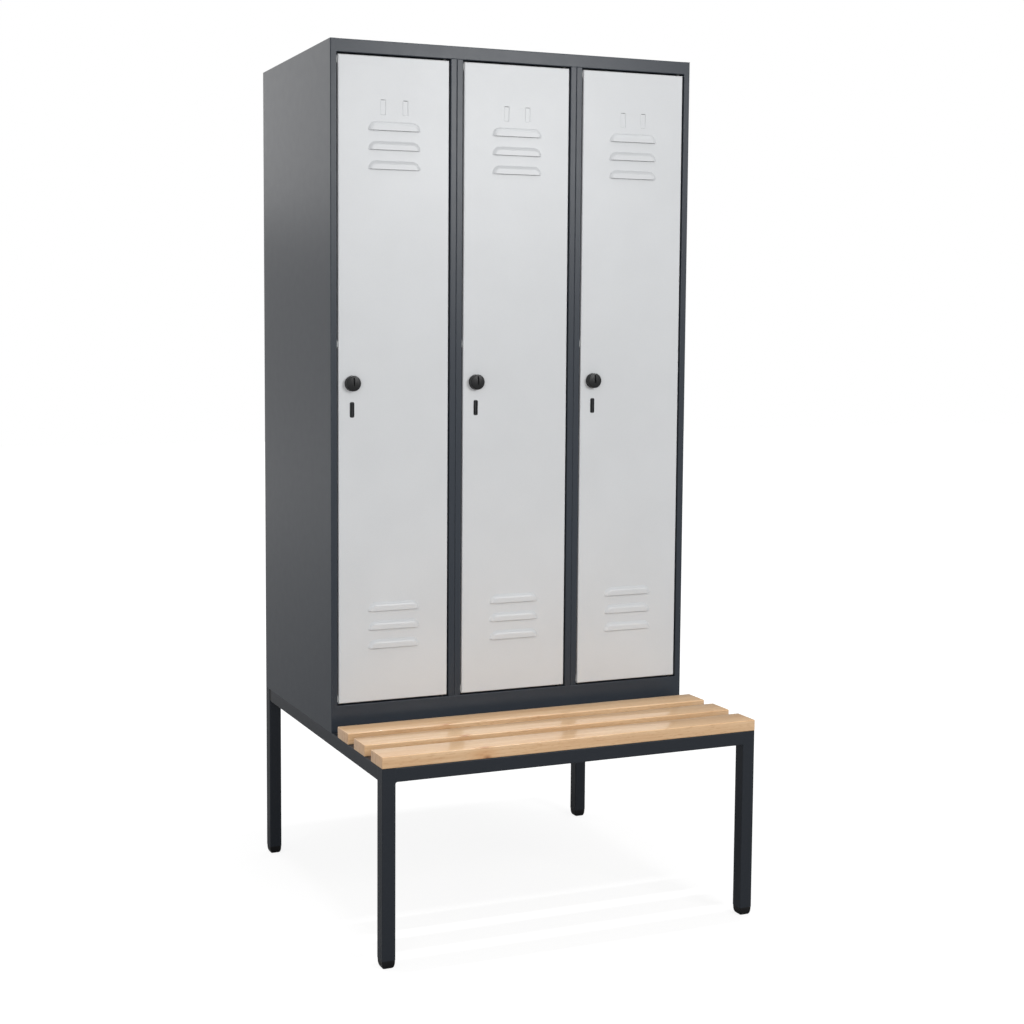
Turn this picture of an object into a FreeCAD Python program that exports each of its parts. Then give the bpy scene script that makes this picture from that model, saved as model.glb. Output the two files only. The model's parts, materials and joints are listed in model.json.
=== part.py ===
"""Three-door steel locker on a tube bench frame with beech seat slats.

Millimetres, +Z up. The origin is on the floor under the middle of the whole object, and the doors face -Y.
"""
import FreeCAD, Part
import math
import os
from FreeCAD import Vector

# Driving dimensions
WIDTH = 900.0
BODY_DEPTH = 500.0
TOTAL_DEPTH = 815.0
HEIGHT = 1955.0
FRAME_TOP = 425.0
DOORS = 3

# Sheet metal
SHEET = 1.0
BEND = 0.7
POST = 15.0
UPPER_FASCIA = 29.0
LOWER_FASCIA = 61.0
REAR_FLANGE = 15.0
SEAM_FLANGE = 12.0
STOP_DEPTH = 19.5
STOP_LIP = 12.0
HINGE_POST_DEPTH = 22.0
HINGE_POST_FOLD = 12.0
FASCIA_FOLD = 25.0
FASCIA_LIP = 10.0
FLOOR_FLANGE = 40.0
TOP_REAR_FLANGE = 20.0

# Doors
DOOR_GAP = 4.0
LOCK_GAP = 3.0
DOOR_THICK = 18.0
DOOR_EDGE = 2.5
DOOR_FOLD = 12.0
PIVOT_IN = 10.0
PIVOT_BACK = 8.0
PIN_RADIUS = 4.0
PIN_FIT = 0.05
PIN_REACH = 8.0
COLLAR_RADIUS = 5.4
COLLAR_THICK = 3.0
BUSH_RADIUS = 5.5
BUSH_FLANGE = 6.5
BUSH_FLANGE_THICK = 1.5

# Louvres and label flaps pressed into the doors
LOUVRE_WIDTH = 124.0
LOUVRE_HEIGHT = 19.0
LOUVRE_DEPTH = 5.0
LOUVRE_SLOPE = 6.5
LOUVRE_CROWN = 1.6
LOUVRE_PITCH = 42.3
LOUVRES = 3
LOUVRE_FROM_TOP = 160.0
LOUVRE_FROM_BOTTOM = 121.0
LABEL_WIDTH = 66.0
LABEL_HEIGHT = 34.0
LABEL_MARGIN = 3.6
LABEL_COINED = 0.3
LABEL_FROM_TOP = 93.0
FLAP_WIDTH = 13.0
FLAP_DEEP = 1.0
FLAP_SLOPE = 1.4
FLAP_GROW = 0.5
FLAP_SLIT = 0.8

# Turn knob, latch and slot insert
LOCK_IN = 31.6
LOCK_HEIGHT = 1207.0
KNOB_RADIUS = 17.5
KNOB_DRAFT = 0.6
KNOB_PROUD = 14.5
KNOB_DOME = 1.8
KNOB_EDGE = 1.2
GROOVE_WIDTH = 4.4
GROOVE_ABOVE = 13.4
GROOVE_BELOW = 5.6
GROOVE_DEPTH = 3.6
SPINDLE_RADIUS = 5.0
SPINDLE_HOLE = 7.0
KNOB_CLEAR = 0.3
CASE_WIDTH = 34.0
CASE_HEIGHT = 64.0
CASE_CORNER = 3.0
CAM_WIDTH = 14.0
CAM_LENGTH = 46.0
CAM_THICK = 3.0
CAM_BACK = 21.5
CAM_CORNER = 3.5
CAM_NUT = 6.0
SLOT_DROP = 58.4
SLOT_WIDTH = 10.5
SLOT_HEIGHT = 34.5
SLOT_CORNER = 3.4
SLOT_LIP = 0.5
SLOT_RIM = 1.4
SLOT_RIB = 1.8
SLOT_PROUD = 0.6
SLOT_DEPTH = 6.0
SLOT_FLOOR = 1.5

# Buffers in the gap at the lock side
BUFFER_HEIGHT = 15.0
BUFFER_THICK = 2.3
BUFFER_START = 3.0
BUFFER_DEPTH = 11.0
BUFFER_EDGE = 0.8
BUFFER_FROM_EDGE = 11.0
BUFFER_MIDDLE = 1294.0

# Door stiffener
STIFF_WIDTH = 64.0
STIFF_CROWN = 36.0
STIFF_DEPTH = 13.0
STIFF_CLEAR = 26.0

# Compartment fittings
SHELF_Z = 1635.0
SHELF_SETBACK = 46.0
SHELF_FRONT = 22.0
SHELF_RETURN = 12.0
RAIL_Z = 1572.0
RAIL_SETBACK = 240.0
RAIL_RADIUS = 9.0
RAIL_WALL = 1.5
SOCKET_RADIUS = 17.0
SOCKET_THICK = 4.0
SOCKET_EDGE = 1.3
HOOKS = 2
HOOK_WIDTH = 10.0
HOOK_RING = 13.0
HOOK_STEM = 7.0
HOOK_BOWL = 17.0
HOOK_BOWL_DROP = 24.0
HOOK_TIP = 4.6

# Bench
TUBE = 30.0
TUBE_WALL = 1.5
TUBE_CORNER = 2.0
SPACER = 14.0
SPACER_INSET = 1.2
FOOT_HEIGHT = 18.0
FOOT_ROUND = 15.0
FOOT_BOTTOM = 19.0
FOOT_TOP = 29.0
FOOT_STEPS = 4
FOOT_PLUG = 18.0
PLUG_CLEAR = 0.4
SLATS = 3
SLAT_WIDTH = 67.0
SLAT_GAP = 36.5
SLAT_THICK = 25.0
SLAT_EDGE = 2.2
SLAT_END = 1.2
BOLT_RADIUS = 3.0
BOLT_FLATS = 10.0
BOLT_HEAD_HEIGHT = 4.0
HEXAGON = 6
BOLT_CLEAR = 0.1
SEAT_BITE = 14.0
SEAT_BOLT_BACK = 12.0
BODY_BOLT_SPREAD = 300.0

# How near a point must lie to a face to count as on it
NEAR = 0.1

# How far from parallel two unit vectors may be to count as one direction
PARALLEL = 0.01

# Turn about the cube's diagonal that takes X to Y, Y to Z and Z to X, in degrees
THIRD_OF_A_TURN = 120.0

# Places worked out from these
LEFT = -WIDTH / 2
FRONT = -TOTAL_DEPTH / 2
BACK = TOTAL_DEPTH / 2
FACE = BACK - BODY_DEPTH
PITCH = WIDTH / DOORS
FLOOR_Z = FRAME_TOP + LOWER_FASCIA
FASCIA_Z = HEIGHT - UPPER_FASCIA
UNDER_TOP = HEIGHT - SHEET
DOOR_BOTTOM = FLOOR_Z + DOOR_GAP
DOOR_TOP = FASCIA_Z - DOOR_GAP
DOOR_LEFT = POST + LOCK_GAP
DOOR_RIGHT = PITCH - POST - DOOR_GAP
DOOR_MIDDLE = (DOOR_LEFT + DOOR_RIGHT) / 2
PIVOT_X = DOOR_RIGHT - PIVOT_IN
PIVOT_Y = FACE + PIVOT_BACK
LOCK_X = DOOR_LEFT + LOCK_IN
SLOT_Z = LOCK_HEIGHT - SLOT_DROP
RAIL_BOTTOM = FRAME_TOP - TUBE
RAIL_Y = FACE + RAIL_SETBACK
WALL_DEPTH = BODY_DEPTH - 2 * SHEET


def block(x0, x1, y0, y1, z0, z1):
    """Box between two corners."""
    return Part.makeBox(x1 - x0, y1 - y0, z1 - z0, Vector(x0, y0, z0))


def post(radius, x, y, z0, z1):
    """Upright cylinder."""
    return Part.makeCylinder(radius, z1 - z0, Vector(x, y, z0))


def pin_along_y(radius, x, z, y0, y1):
    """Cylinder that runs from front to back."""
    return Part.makeCylinder(radius, y1 - y0, Vector(x, y0, z), Vector(0, 1, 0))


def join(shapes):
    """One solid from touching shapes, with faces in one plane merged."""
    return shapes[0].multiFuse(shapes[1:]).removeSplitter()


def moved(shape, x=0.0, y=0.0, z=0.0):
    """Copy of a shape, shifted."""
    copy = shape.copy()
    copy.translate(Vector(x, y, z))
    return copy


def edges_along(shape, axis):
    """Straight edges of a shape that run along an axis."""
    lines = [edge for edge in shape.Edges if edge.Curve.TypeId == "Part::GeomLine"]
    return [edge for edge in lines if edge.tangentAt(edge.FirstParameter).cross(axis).Length < PARALLEL]


def edge_at(shape, test):
    """Edges of a shape whose middle point passes a test."""
    return [edge for edge in shape.Edges if test(edge.CenterOfMass)]


def fold_line(points, radii, offsets):
    """Edges along a folded line: straight runs with an arc at each corner, moved sideways by offsets."""
    ways = [(b - a).normalize() for a, b in zip(points, points[1:])]
    lefts = [Vector(-way.y, way.x, 0) for way in ways]
    edges = []
    start = points[0] + lefts[0] * offsets
    for corner, left, after, radius in zip(points[1:-1], lefts, lefts[1:], radii):
        turn = 1.0 if left.cross(after).z > 0 else -1.0
        middle = corner + (left + after) * offsets
        centre = middle + (left + after) * (turn * radius)
        arc_start = centre - left * (turn * radius)
        arc_end = centre - after * (turn * radius)
        arc_middle = centre - (left + after).normalize() * (turn * radius)
        edges.append(Part.LineSegment(start, arc_start).toShape())
        edges.append(Part.Arc(arc_start, arc_middle, arc_end).toShape())
        start = arc_end
    edges.append(Part.LineSegment(start, points[-1] + lefts[-1] * offsets).toShape())
    return edges


def folded(outline, side):
    """Section of a sheet folded square along an outline, metal on its left (side 1) or its right (-1)."""
    points = [Vector(u, v, 0) for u, v in outline]
    ways = [b - a for a, b in zip(points, points[1:])]
    turns = [side * a.cross(b).z > 0 for a, b in zip(ways, ways[1:])]
    near = fold_line(points, [BEND + SHEET if inward else BEND for inward in turns], 0.0)
    far = fold_line(points, [BEND if inward else BEND + SHEET for inward in turns], side * SHEET)
    first = Part.LineSegment(near[0].firstVertex().Point, far[0].firstVertex().Point).toShape()
    last = Part.LineSegment(near[-1].lastVertex().Point, far[-1].lastVertex().Point).toShape()
    return Part.Face(Part.Wire(Part.__sortEdges__(near + far + [first, last])))


def upright_sheet(outline, side, x, z0, z1):
    """Folded sheet standing between two heights; its section is seen from above, from the body's face."""
    solid = folded(outline, side).extrude(Vector(0, 0, z1 - z0))
    return moved(solid, x, FACE, z0)


def level_sheet(outline, side, x0, x1):
    """Folded sheet with its section seen from the side, running from x0 to x1; the outline is in y and z."""
    solid = folded(outline, side).extrude(Vector(0, 0, x1 - x0))
    solid.rotate(Vector(0, 0, 0), Vector(1, 1, 1), THIRD_OF_A_TURN)
    return moved(solid, x0, FACE, 0.0)


def tube(length):
    """Square tube standing on the origin, with rounded outer corners."""
    half = TUBE / 2
    inner = half - TUBE_WALL
    outside = block(-half, half, -half, half, 0, length)
    outside = outside.makeFillet(TUBE_CORNER, edges_along(outside, Vector(0, 0, 1)))
    hollow = block(-inner, inner, -inner, inner, 0, length)
    hollow = hollow.makeFillet(TUBE_CORNER - TUBE_WALL, edges_along(hollow, Vector(0, 0, 1)))
    return outside.cut(hollow)


def tube_between(start, end):
    """Square tube from one point to another along one axis."""
    run = Vector(end) - Vector(start)
    solid = tube(run.Length)
    if run.x:
        solid.rotate(Vector(0, 0, 0), Vector(0, 1, 0), 90)
    if run.y:
        solid.rotate(Vector(0, 0, 0), Vector(1, 0, 0), -90)
    solid.translate(Vector(start))
    return solid


# Locker body

def side_outline(depth, flange):
    """Rear flange, skin and front flange of a wall, from above, for a wall at the left of its compartment."""
    return [(flange, depth), (0, depth), (0, 0), (POST, 0)]


def stop_fold():
    """Fold behind the front flange at the lock side: a return and the lip that the door closes against."""
    return [(POST, STOP_DEPTH), (POST + STOP_LIP, STOP_DEPTH)]


def hinge_fold():
    """Fold behind the front flange at the hinge side: a return and a fold back towards the wall."""
    return [(POST, HINGE_POST_DEPTH), (POST - HINGE_POST_FOLD, HINGE_POST_DEPTH)]


def facing(outline, hand):
    """Outline for a wall at the left (hand 1) or the right (hand -1) of its compartment."""
    return [(hand * u, v) for u, v in outline]


def outer_wall(x, hand, fold):
    """Side panel: skin and flanges over the full height, the fold only beside the doors."""
    plain = side_outline(BODY_DEPTH, REAR_FLANGE)
    return join([
        upright_sheet(facing(plain, hand), hand, x, FRAME_TOP, FLOOR_Z),
        upright_sheet(facing(plain + fold, hand), hand, x, FLOOR_Z, FASCIA_Z),
        upright_sheet(facing(plain, hand), hand, x, FASCIA_Z, UNDER_TOP),
    ])


def inner_wall(x, hand, fold):
    """One sheet of a partition: it stands on the floor and passes behind the upper fascia."""
    full = side_outline(WALL_DEPTH, SEAM_FLANGE) + fold
    upper = [(SEAM_FLANGE, WALL_DEPTH), (0, WALL_DEPTH), (0, FASCIA_FOLD)]
    return join([
        upright_sheet(facing(full, hand), hand, x, FLOOR_Z, FASCIA_Z),
        upright_sheet(facing(upper, hand), hand, x, FASCIA_Z, UNDER_TOP),
    ])


def bush_places():
    """Pivot bush places: x, and the height and direction in which each sleeve stands."""
    places = []
    for index in range(DOORS):
        x = LEFT + index * PITCH + PIVOT_X
        places.append((x, FLOOR_Z, -1))
        places.append((x, FASCIA_Z, 1))
    return places


def bush_hole(x, z):
    """Cutter for the sleeve of a pivot bush."""
    return post(BUSH_RADIUS, x, PIVOT_Y, z - 2 * SHEET, z + 2 * SHEET)


def pierced(panel, direction):
    """Panel with the bush holes that belong to it."""
    for x, z, way in bush_places():
        if way == direction:
            panel = panel.cut(bush_hole(x, z))
    return panel


def top_panel():
    """Roof, upper fascia and the fold behind it, with a rear flange."""
    outline = [
        (FASCIA_FOLD, FASCIA_Z + FASCIA_LIP), (FASCIA_FOLD, FASCIA_Z), (0, FASCIA_Z), (0, HEIGHT),
        (BODY_DEPTH, HEIGHT), (BODY_DEPTH, HEIGHT - TOP_REAR_FLANGE),
    ]
    middle = level_sheet(outline, -1, LEFT + POST, -LEFT - POST)
    ends = [
        block(LEFT, LEFT + POST, FACE, BACK, UNDER_TOP, HEIGHT),
        block(-LEFT - POST, -LEFT, FACE, BACK, UNDER_TOP, HEIGHT),
    ]
    return pierced(join([middle] + ends), 1)


def bolt_places():
    """Bolts that hold the slats to the side rails and the body to the cross and rear rails."""
    seat = [(side * (WIDTH - TUBE) / 2, y + SEAT_BOLT_BACK) for y in slat_centres() for side in (-1, 1)]
    body = [(side * BODY_BOLT_SPREAD, y) for y in (FACE + TUBE / 2, BACK - TUBE / 2) for side in (-1, 1)]
    return seat + body


def drilled(piece):
    """Piece with clearance holes where the frame bolts pass through it."""
    box = piece.BoundBox
    for x, y in bolt_places():
        if box.XMin < x < box.XMax and box.YMin < y < box.YMax:
            piece = piece.cut(bolt_shank(x, y, BOLT_RADIUS + BOLT_CLEAR))
    return piece


def bottom_panel():
    """Compartment floor, lower fascia and the flanges that stand on the bench frame."""
    rear = WALL_DEPTH
    corner = SHEET + BEND
    outline = [
        (FLOOR_FLANGE, FRAME_TOP), (0, FRAME_TOP), (0, FLOOR_Z), (rear, FLOOR_Z),
        (rear, FRAME_TOP), (rear - FLOOR_FLANGE, FRAME_TOP),
    ]
    middle = level_sheet(outline, -1, LEFT + POST, -LEFT - POST)
    strips = [
        block(LEFT + SHEET, LEFT + POST, FACE + corner, FACE + rear, FLOOR_Z - SHEET, FLOOR_Z),
        block(-LEFT - POST, -LEFT - SHEET, FACE + corner, FACE + rear, FLOOR_Z - SHEET, FLOOR_Z),
    ]
    return drilled(pierced(join([middle] + strips), -1))


def back_panel():
    """Plain rear sheet inside the flanges of the sides and the roof, clear of their bends."""
    left = LEFT + SHEET + BEND
    return block(left, -left, FACE + WALL_DEPTH, BACK - SHEET, FRAME_TOP, UNDER_TOP - BEND)


def pivot_bush(x, z, way):
    """Flanged sleeve for a door pin; the flange is on the door's side of the sheet."""
    tip = z + way * (PIN_REACH + SHEET)
    lip = z - way * BUSH_FLANGE_THICK
    sleeve = post(BUSH_RADIUS, x, PIVOT_Y, min(z, tip), max(z, tip))
    flange = post(BUSH_FLANGE, x, PIVOT_Y, min(z, lip), max(z, lip))
    bore = post(PIN_RADIUS + PIN_FIT, x, PIVOT_Y, min(lip, tip), max(lip, tip))
    return sleeve.fuse(flange).cut(bore).removeSplitter()


def pivot_bushes():
    """All pivot bushes as separate solids."""
    return Part.makeCompound([pivot_bush(*place) for place in bush_places()])


def door_buffers():
    """Light pads on the lock-side posts that the door edges meet."""
    heights = (DOOR_BOTTOM + BUFFER_FROM_EDGE, BUFFER_MIDDLE, DOOR_TOP - BUFFER_FROM_EDGE)
    pads = []
    for index in range(DOORS):
        x = LEFT + index * PITCH + POST
        for middle in heights:
            low = middle - BUFFER_HEIGHT / 2
            front = FACE + BUFFER_START
            pad = block(x, x + BUFFER_THICK, front, front + BUFFER_DEPTH, low, low + BUFFER_HEIGHT)
            free = edge_at(pad, lambda point: point.x > x + BUFFER_THICK - NEAR)
            pads.append(pad.makeFillet(BUFFER_EDGE, free))
    return Part.makeCompound(pads)


# Compartment fittings

def hat_shelf(x):
    """Folded shelf that spans a compartment from wall to wall, clear of the bends at its rear corners."""
    rear = WALL_DEPTH - SHEET - BEND
    outline = [
        (SHELF_SETBACK + SHELF_RETURN, SHELF_Z - SHELF_FRONT), (SHELF_SETBACK, SHELF_Z - SHELF_FRONT),
        (SHELF_SETBACK, SHELF_Z), (rear, SHELF_Z), (rear, SHELF_Z - SHELF_FRONT),
    ]
    return level_sheet(outline, -1, x + SHEET, x + PITCH - SHEET)


def coat_rail(x):
    """Round tube between the walls of a compartment, with a flanged socket at each end."""
    start = Vector(x + SHEET, RAIL_Y, RAIL_Z)
    length = PITCH - 2 * SHEET
    along = Vector(1, 0, 0)
    outside = Part.makeCylinder(RAIL_RADIUS, length, start, along)
    bore = Part.makeCylinder(RAIL_RADIUS - RAIL_WALL, length, start, along)
    sockets = []
    for shift in (0, length - SOCKET_THICK):
        socket = Part.makeCylinder(SOCKET_RADIUS, SOCKET_THICK, start + along * shift, along)
        rim = edge_at(socket, lambda point: abs(point.x - start.x - length / 2) < length / 2 - SOCKET_EDGE)
        sockets.append(socket.makeChamfer(SOCKET_EDGE, rim))
    return join([outside] + sockets).cut(bore)


def coat_hook(x):
    """Double hook: a ring on the rail, a stem and a bowl with a raised tip on each side."""
    along = Vector(1, 0, 0)
    half = HOOK_WIDTH / 2
    base = Vector(x - half, RAIL_Y, RAIL_Z)
    bowl_z = RAIL_Z - HOOK_RING - HOOK_BOWL_DROP
    centre = Vector(x - half, RAIL_Y, bowl_z)
    ring = Part.makeCylinder(HOOK_RING, HOOK_WIDTH, base, along)
    outer = HOOK_BOWL + HOOK_STEM
    bowl = Part.makeCylinder(outer, HOOK_WIDTH, centre, along)
    bowl = bowl.cut(Part.makeCylinder(HOOK_BOWL, HOOK_WIDTH, centre, along))
    bowl = bowl.common(block(x - half, x + half, RAIL_Y - outer, RAIL_Y + outer, bowl_z - outer, bowl_z))
    stem = block(x - half, x + half, RAIL_Y - HOOK_STEM / 2, RAIL_Y + HOOK_STEM / 2,
                 bowl_z - HOOK_BOWL - HOOK_STEM / 2, RAIL_Z)
    tips = []
    for side in (-1, 1):
        reach = side * (HOOK_BOWL + HOOK_STEM / 2)
        tips.append(Part.makeCylinder(HOOK_TIP, HOOK_WIDTH, centre + Vector(0, reach, 0), along))
    bore = Part.makeCylinder(RAIL_RADIUS + PIN_FIT, HOOK_WIDTH, base, along)
    return join([ring, bowl, stem] + tips).cut(bore)


# Doors, drawn for a compartment whose left edge is x = 0

def door_pan():
    """Folded door pan, open at the back, with folds along both upright edges."""
    back = FACE + DOOR_THICK
    skin = block(DOOR_LEFT, DOOR_RIGHT, FACE, back, DOOR_BOTTOM, DOOR_TOP)
    skin = skin.makeFillet(DOOR_EDGE, edge_at(skin, lambda point: point.y < FACE + SHEET))
    hollow = block(DOOR_LEFT + SHEET, DOOR_RIGHT - SHEET, FACE + SHEET, back + SHEET,
                   DOOR_BOTTOM + SHEET, DOOR_TOP - SHEET)
    hollow = hollow.makeFillet(DOOR_EDGE - SHEET, edge_at(hollow, lambda point: point.y < FACE + 2 * SHEET))
    low, high = DOOR_BOTTOM + SHEET, DOOR_TOP - SHEET
    folds = [
        block(DOOR_LEFT + SHEET, DOOR_LEFT + DOOR_FOLD, back - SHEET, back, low, high),
        block(DOOR_RIGHT - DOOR_FOLD, DOOR_RIGHT - SHEET, back - SHEET, back, low, high),
    ]
    return join([skin.cut(hollow)] + folds)


def louvre_form(z, inset, back):
    """Sharp form of a louvre: its section drawn along the door, both ends turned down round a corner."""
    front = back - LOUVRE_DEPTH
    reach = LOUVRE_HEIGHT - inset
    outline = [(back, 0), (back, reach), (front, reach - LOUVRE_SLOPE), (front, 0), (back, 0)]
    half = LOUVRE_WIDTH / 2 - LOUVRE_HEIGHT
    left_corner, right_corner = Vector(DOOR_MIDDLE - half, 0, z), Vector(DOOR_MIDDLE + half, 0, z)
    section = Part.Face(Part.makePolygon([left_corner + Vector(0, y, rise) for y, rise in outline]))
    run = section.extrude(right_corner - left_corner)
    axis = Vector(0, 1, 0)
    left = section.revolve(left_corner, axis, -90)
    right = moved(section, 2 * half).revolve(right_corner, axis, 90)
    return join([run, left, right])


def louvre_hump(z):
    """Outside of a pressed louvre, with its crown eased on the three closed sides."""
    hump = louvre_form(z, 0.0, FACE)
    front = FACE - LOUVRE_DEPTH
    crown = [edge for edge in hump.Edges
             if edge.BoundBox.YMax < front + NEAR and edge.BoundBox.ZMax > z + NEAR]
    return hump.makeChamfer(LOUVRE_CROWN, crown)


def louvre_feet():
    """Heights of the louvres' lower edges, in a group near each end of the door."""
    low = DOOR_BOTTOM + LOUVRE_FROM_BOTTOM
    high = DOOR_TOP - LOUVRE_FROM_TOP
    lower = [low + step * LOUVRE_PITCH for step in range(LOUVRES)]
    upper = [high - step * LOUVRE_PITCH for step in range(LOUVRES)]
    return lower + upper


def pressed(pan):
    """Door pan with its louvres pressed out, each open along its foot."""
    for z in louvre_feet():
        pan = pan.fuse(louvre_hump(z)).cut(louvre_form(z, SHEET, FACE + SHEET))
    return pan


def label_press(x, low, high, front, grow):
    """Form pressed in at one end of a name card's place: sloping sides down to a flat floor."""
    def outline(y, inset):
        left, right = x + inset, x + FLAP_WIDTH - inset
        bottom, top = low + inset, high - inset
        corners = [(left, bottom), (right, bottom), (right, top), (left, top), (left, bottom)]
        return Part.makePolygon([Vector(u, y, v) for u, v in corners])
    return Part.makeLoft([outline(front, -grow), outline(front + FLAP_DEEP, FLAP_SLOPE - grow)], True, True)


def label_slit(x, high):
    """Slit along the top of a pressed-in flap, where the card's edge goes in."""
    low = high - FLAP_SLOPE
    return block(x + FLAP_SLOPE, x + FLAP_WIDTH - FLAP_SLOPE, FACE, FACE + FLAP_DEEP + 2 * SHEET,
                 low, low + FLAP_SLIT)


def labelled(panel):
    """Door panel with a flap pressed in at each end of the card's place and a coined field between."""
    high = DOOR_TOP - LABEL_FROM_TOP
    low = high - LABEL_HEIGHT
    left, right = DOOR_MIDDLE - LABEL_WIDTH / 2, DOOR_MIDDLE + LABEL_WIDTH / 2
    field = block(left + FLAP_WIDTH, right - FLAP_WIDTH, FACE, FACE + LABEL_COINED,
                  low + LABEL_MARGIN, high - LABEL_MARGIN)
    for x in (left, right - FLAP_WIDTH):
        panel = panel.fuse(label_press(x, low, high, FACE + SHEET, FLAP_GROW))
        panel = panel.cut(label_press(x, low, high, FACE, 0.0)).cut(label_slit(x, high))
    return panel.cut(field)


def slot_prism(inset, y0, y1):
    """Upright slot shape with rounded corners, inset from the insert's outline, between two depths."""
    half, reach = SLOT_WIDTH / 2 - inset, SLOT_HEIGHT / 2 - inset
    prism = block(LOCK_X - half, LOCK_X + half, y0, y1, SLOT_Z - reach, SLOT_Z + reach)
    return prism.makeFillet(SLOT_CORNER - inset, edges_along(prism, Vector(0, 1, 0)))


def door_panel():
    """Finished door: pressed pan with its label flaps and the holes for knob, slot and pins."""
    panel = labelled(pressed(door_pan()))
    panel = panel.cut(pin_along_y(SPINDLE_HOLE, LOCK_X, LOCK_HEIGHT, FACE - SHEET, FACE + 2 * SHEET))
    panel = panel.cut(slot_prism(SLOT_LIP, FACE - SHEET, FACE + 2 * SHEET))
    panel = panel.cut(post(PIN_RADIUS + 2 * PIN_FIT, PIVOT_X, PIVOT_Y, DOOR_BOTTOM - SHEET, DOOR_TOP + SHEET))
    return panel.removeSplitter()


def door_stiffener():
    """Hat-section rib on the inside of the door, between the louvre groups."""
    feet = louvre_feet()
    low = feet[LOUVRES - 1] + LOUVRE_HEIGHT + STIFF_CLEAR
    high = feet[-1] - STIFF_CLEAR
    half, crown = STIFF_WIDTH / 2, STIFF_CROWN / 2
    outline = [(-half, SHEET), (-crown, SHEET), (-crown, STIFF_DEPTH), (crown, STIFF_DEPTH),
               (crown, SHEET), (half, SHEET)]
    return upright_sheet(outline, 1, DOOR_MIDDLE, low, high)


def pivot_pins():
    """Upper and lower door pins, each with a collar inside the pan; the lower one also carries the door."""
    reach = DOOR_GAP + PIN_REACH - 2 * SHEET
    inner = PIN_REACH + 2 * SHEET
    carry = DOOR_GAP - BUSH_FLANGE_THICK - 2 * PIN_FIT
    low, high = DOOR_BOTTOM + SHEET, DOOR_TOP - SHEET
    lower = join([
        post(PIN_RADIUS, PIVOT_X, PIVOT_Y, DOOR_BOTTOM - reach, DOOR_BOTTOM + inner),
        post(COLLAR_RADIUS, PIVOT_X, PIVOT_Y, DOOR_BOTTOM - carry, DOOR_BOTTOM),
        post(COLLAR_RADIUS, PIVOT_X, PIVOT_Y, low, low + COLLAR_THICK),
    ])
    upper = join([
        post(PIN_RADIUS, PIVOT_X, PIVOT_Y, DOOR_TOP - inner, DOOR_TOP + reach),
        post(COLLAR_RADIUS, PIVOT_X, PIVOT_Y, high - COLLAR_THICK, high),
    ])
    return Part.makeCompound([lower, upper])


def lock_case():
    """Case behind the knob that guides its spindle."""
    half = CASE_WIDTH / 2
    low = LOCK_HEIGHT - CASE_HEIGHT / 2
    case = block(LOCK_X - half, LOCK_X + half, FACE + SHEET, FACE + DOOR_THICK - 2 * SHEET,
                 low, low + CASE_HEIGHT)
    case = case.makeFillet(CASE_CORNER, edges_along(case, Vector(0, 1, 0)))
    bore = pin_along_y(SPINDLE_RADIUS + PIN_FIT, LOCK_X, LOCK_HEIGHT, FACE, FACE + DOOR_THICK)
    return case.cut(bore)


def slot_insert():
    """Dark insert under the knob: a thin rim on the door, a deep recess and a rib along its middle."""
    rim = slot_prism(0.0, FACE - SLOT_PROUD, FACE)
    neck = slot_prism(SLOT_LIP, FACE, FACE + SLOT_DEPTH)
    recess = slot_prism(SLOT_RIM, FACE - SLOT_PROUD, FACE + SLOT_DEPTH - SLOT_FLOOR)
    half, reach = SLOT_RIB / 2, SLOT_HEIGHT / 2 - SLOT_RIM
    rib = block(LOCK_X - half, LOCK_X + half, FACE - SLOT_PROUD, FACE + SLOT_DEPTH,
                SLOT_Z - reach, SLOT_Z + reach)
    return join([rim.fuse(neck).cut(recess), rib])


def knob():
    """Round knob with its spindle: a drafted side, a domed face and a pointer groove from its upper rim."""
    seat = FACE - KNOB_CLEAR
    face = seat - KNOB_PROUD
    centre = Vector(LOCK_X, seat, LOCK_HEIGHT)
    body = Part.makeCone(KNOB_RADIUS, KNOB_RADIUS - KNOB_DRAFT, KNOB_PROUD, centre, Vector(0, -1, 0))
    rim = KNOB_RADIUS - KNOB_DRAFT
    dome = (rim ** 2 + KNOB_DOME ** 2) / (2 * KNOB_DOME)
    body = body.common(Part.makeSphere(dome, Vector(LOCK_X, face + dome, LOCK_HEIGHT)))
    body = body.makeChamfer(KNOB_EDGE, edge_at(body, lambda point: face + NEAR < point.y < seat - NEAR))
    groove = block(LOCK_X - GROOVE_WIDTH / 2, LOCK_X + GROOVE_WIDTH / 2, face - SHEET, face + GROOVE_DEPTH,
                   LOCK_HEIGHT - GROOVE_BELOW, LOCK_HEIGHT + GROOVE_ABOVE)
    spindle = pin_along_y(SPINDLE_RADIUS, LOCK_X, LOCK_HEIGHT, seat, FACE + CAM_BACK)
    return join([body.cut(groove), spindle])


def latch_cam():
    """Flat cam on the spindle's end, hanging down when the door is free to open."""
    near, far = FACE + CAM_BACK, FACE + CAM_BACK + CAM_THICK
    half = CAM_WIDTH / 2
    tip = LOCK_HEIGHT - CAM_LENGTH
    bar = block(LOCK_X - half, LOCK_X + half, near, far, tip, LOCK_HEIGHT)
    ends = edge_at(bar, lambda point: point.z < tip + NEAR and abs(point.x - LOCK_X) > half - NEAR)
    bar = bar.makeFillet(CAM_CORNER, ends)
    boss = pin_along_y(half, LOCK_X, LOCK_HEIGHT, near, far)
    nut = pin_along_y(CAM_NUT, LOCK_X, LOCK_HEIGHT, far, far + CAM_THICK)
    return join([bar, boss, nut])


# Bench

def slat_centres():
    """Front-to-back places of the slats, the first flush with the frame's front."""
    first = FRONT + SLAT_WIDTH / 2
    return [first + index * (SLAT_WIDTH + SLAT_GAP) for index in range(SLATS)]


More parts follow.
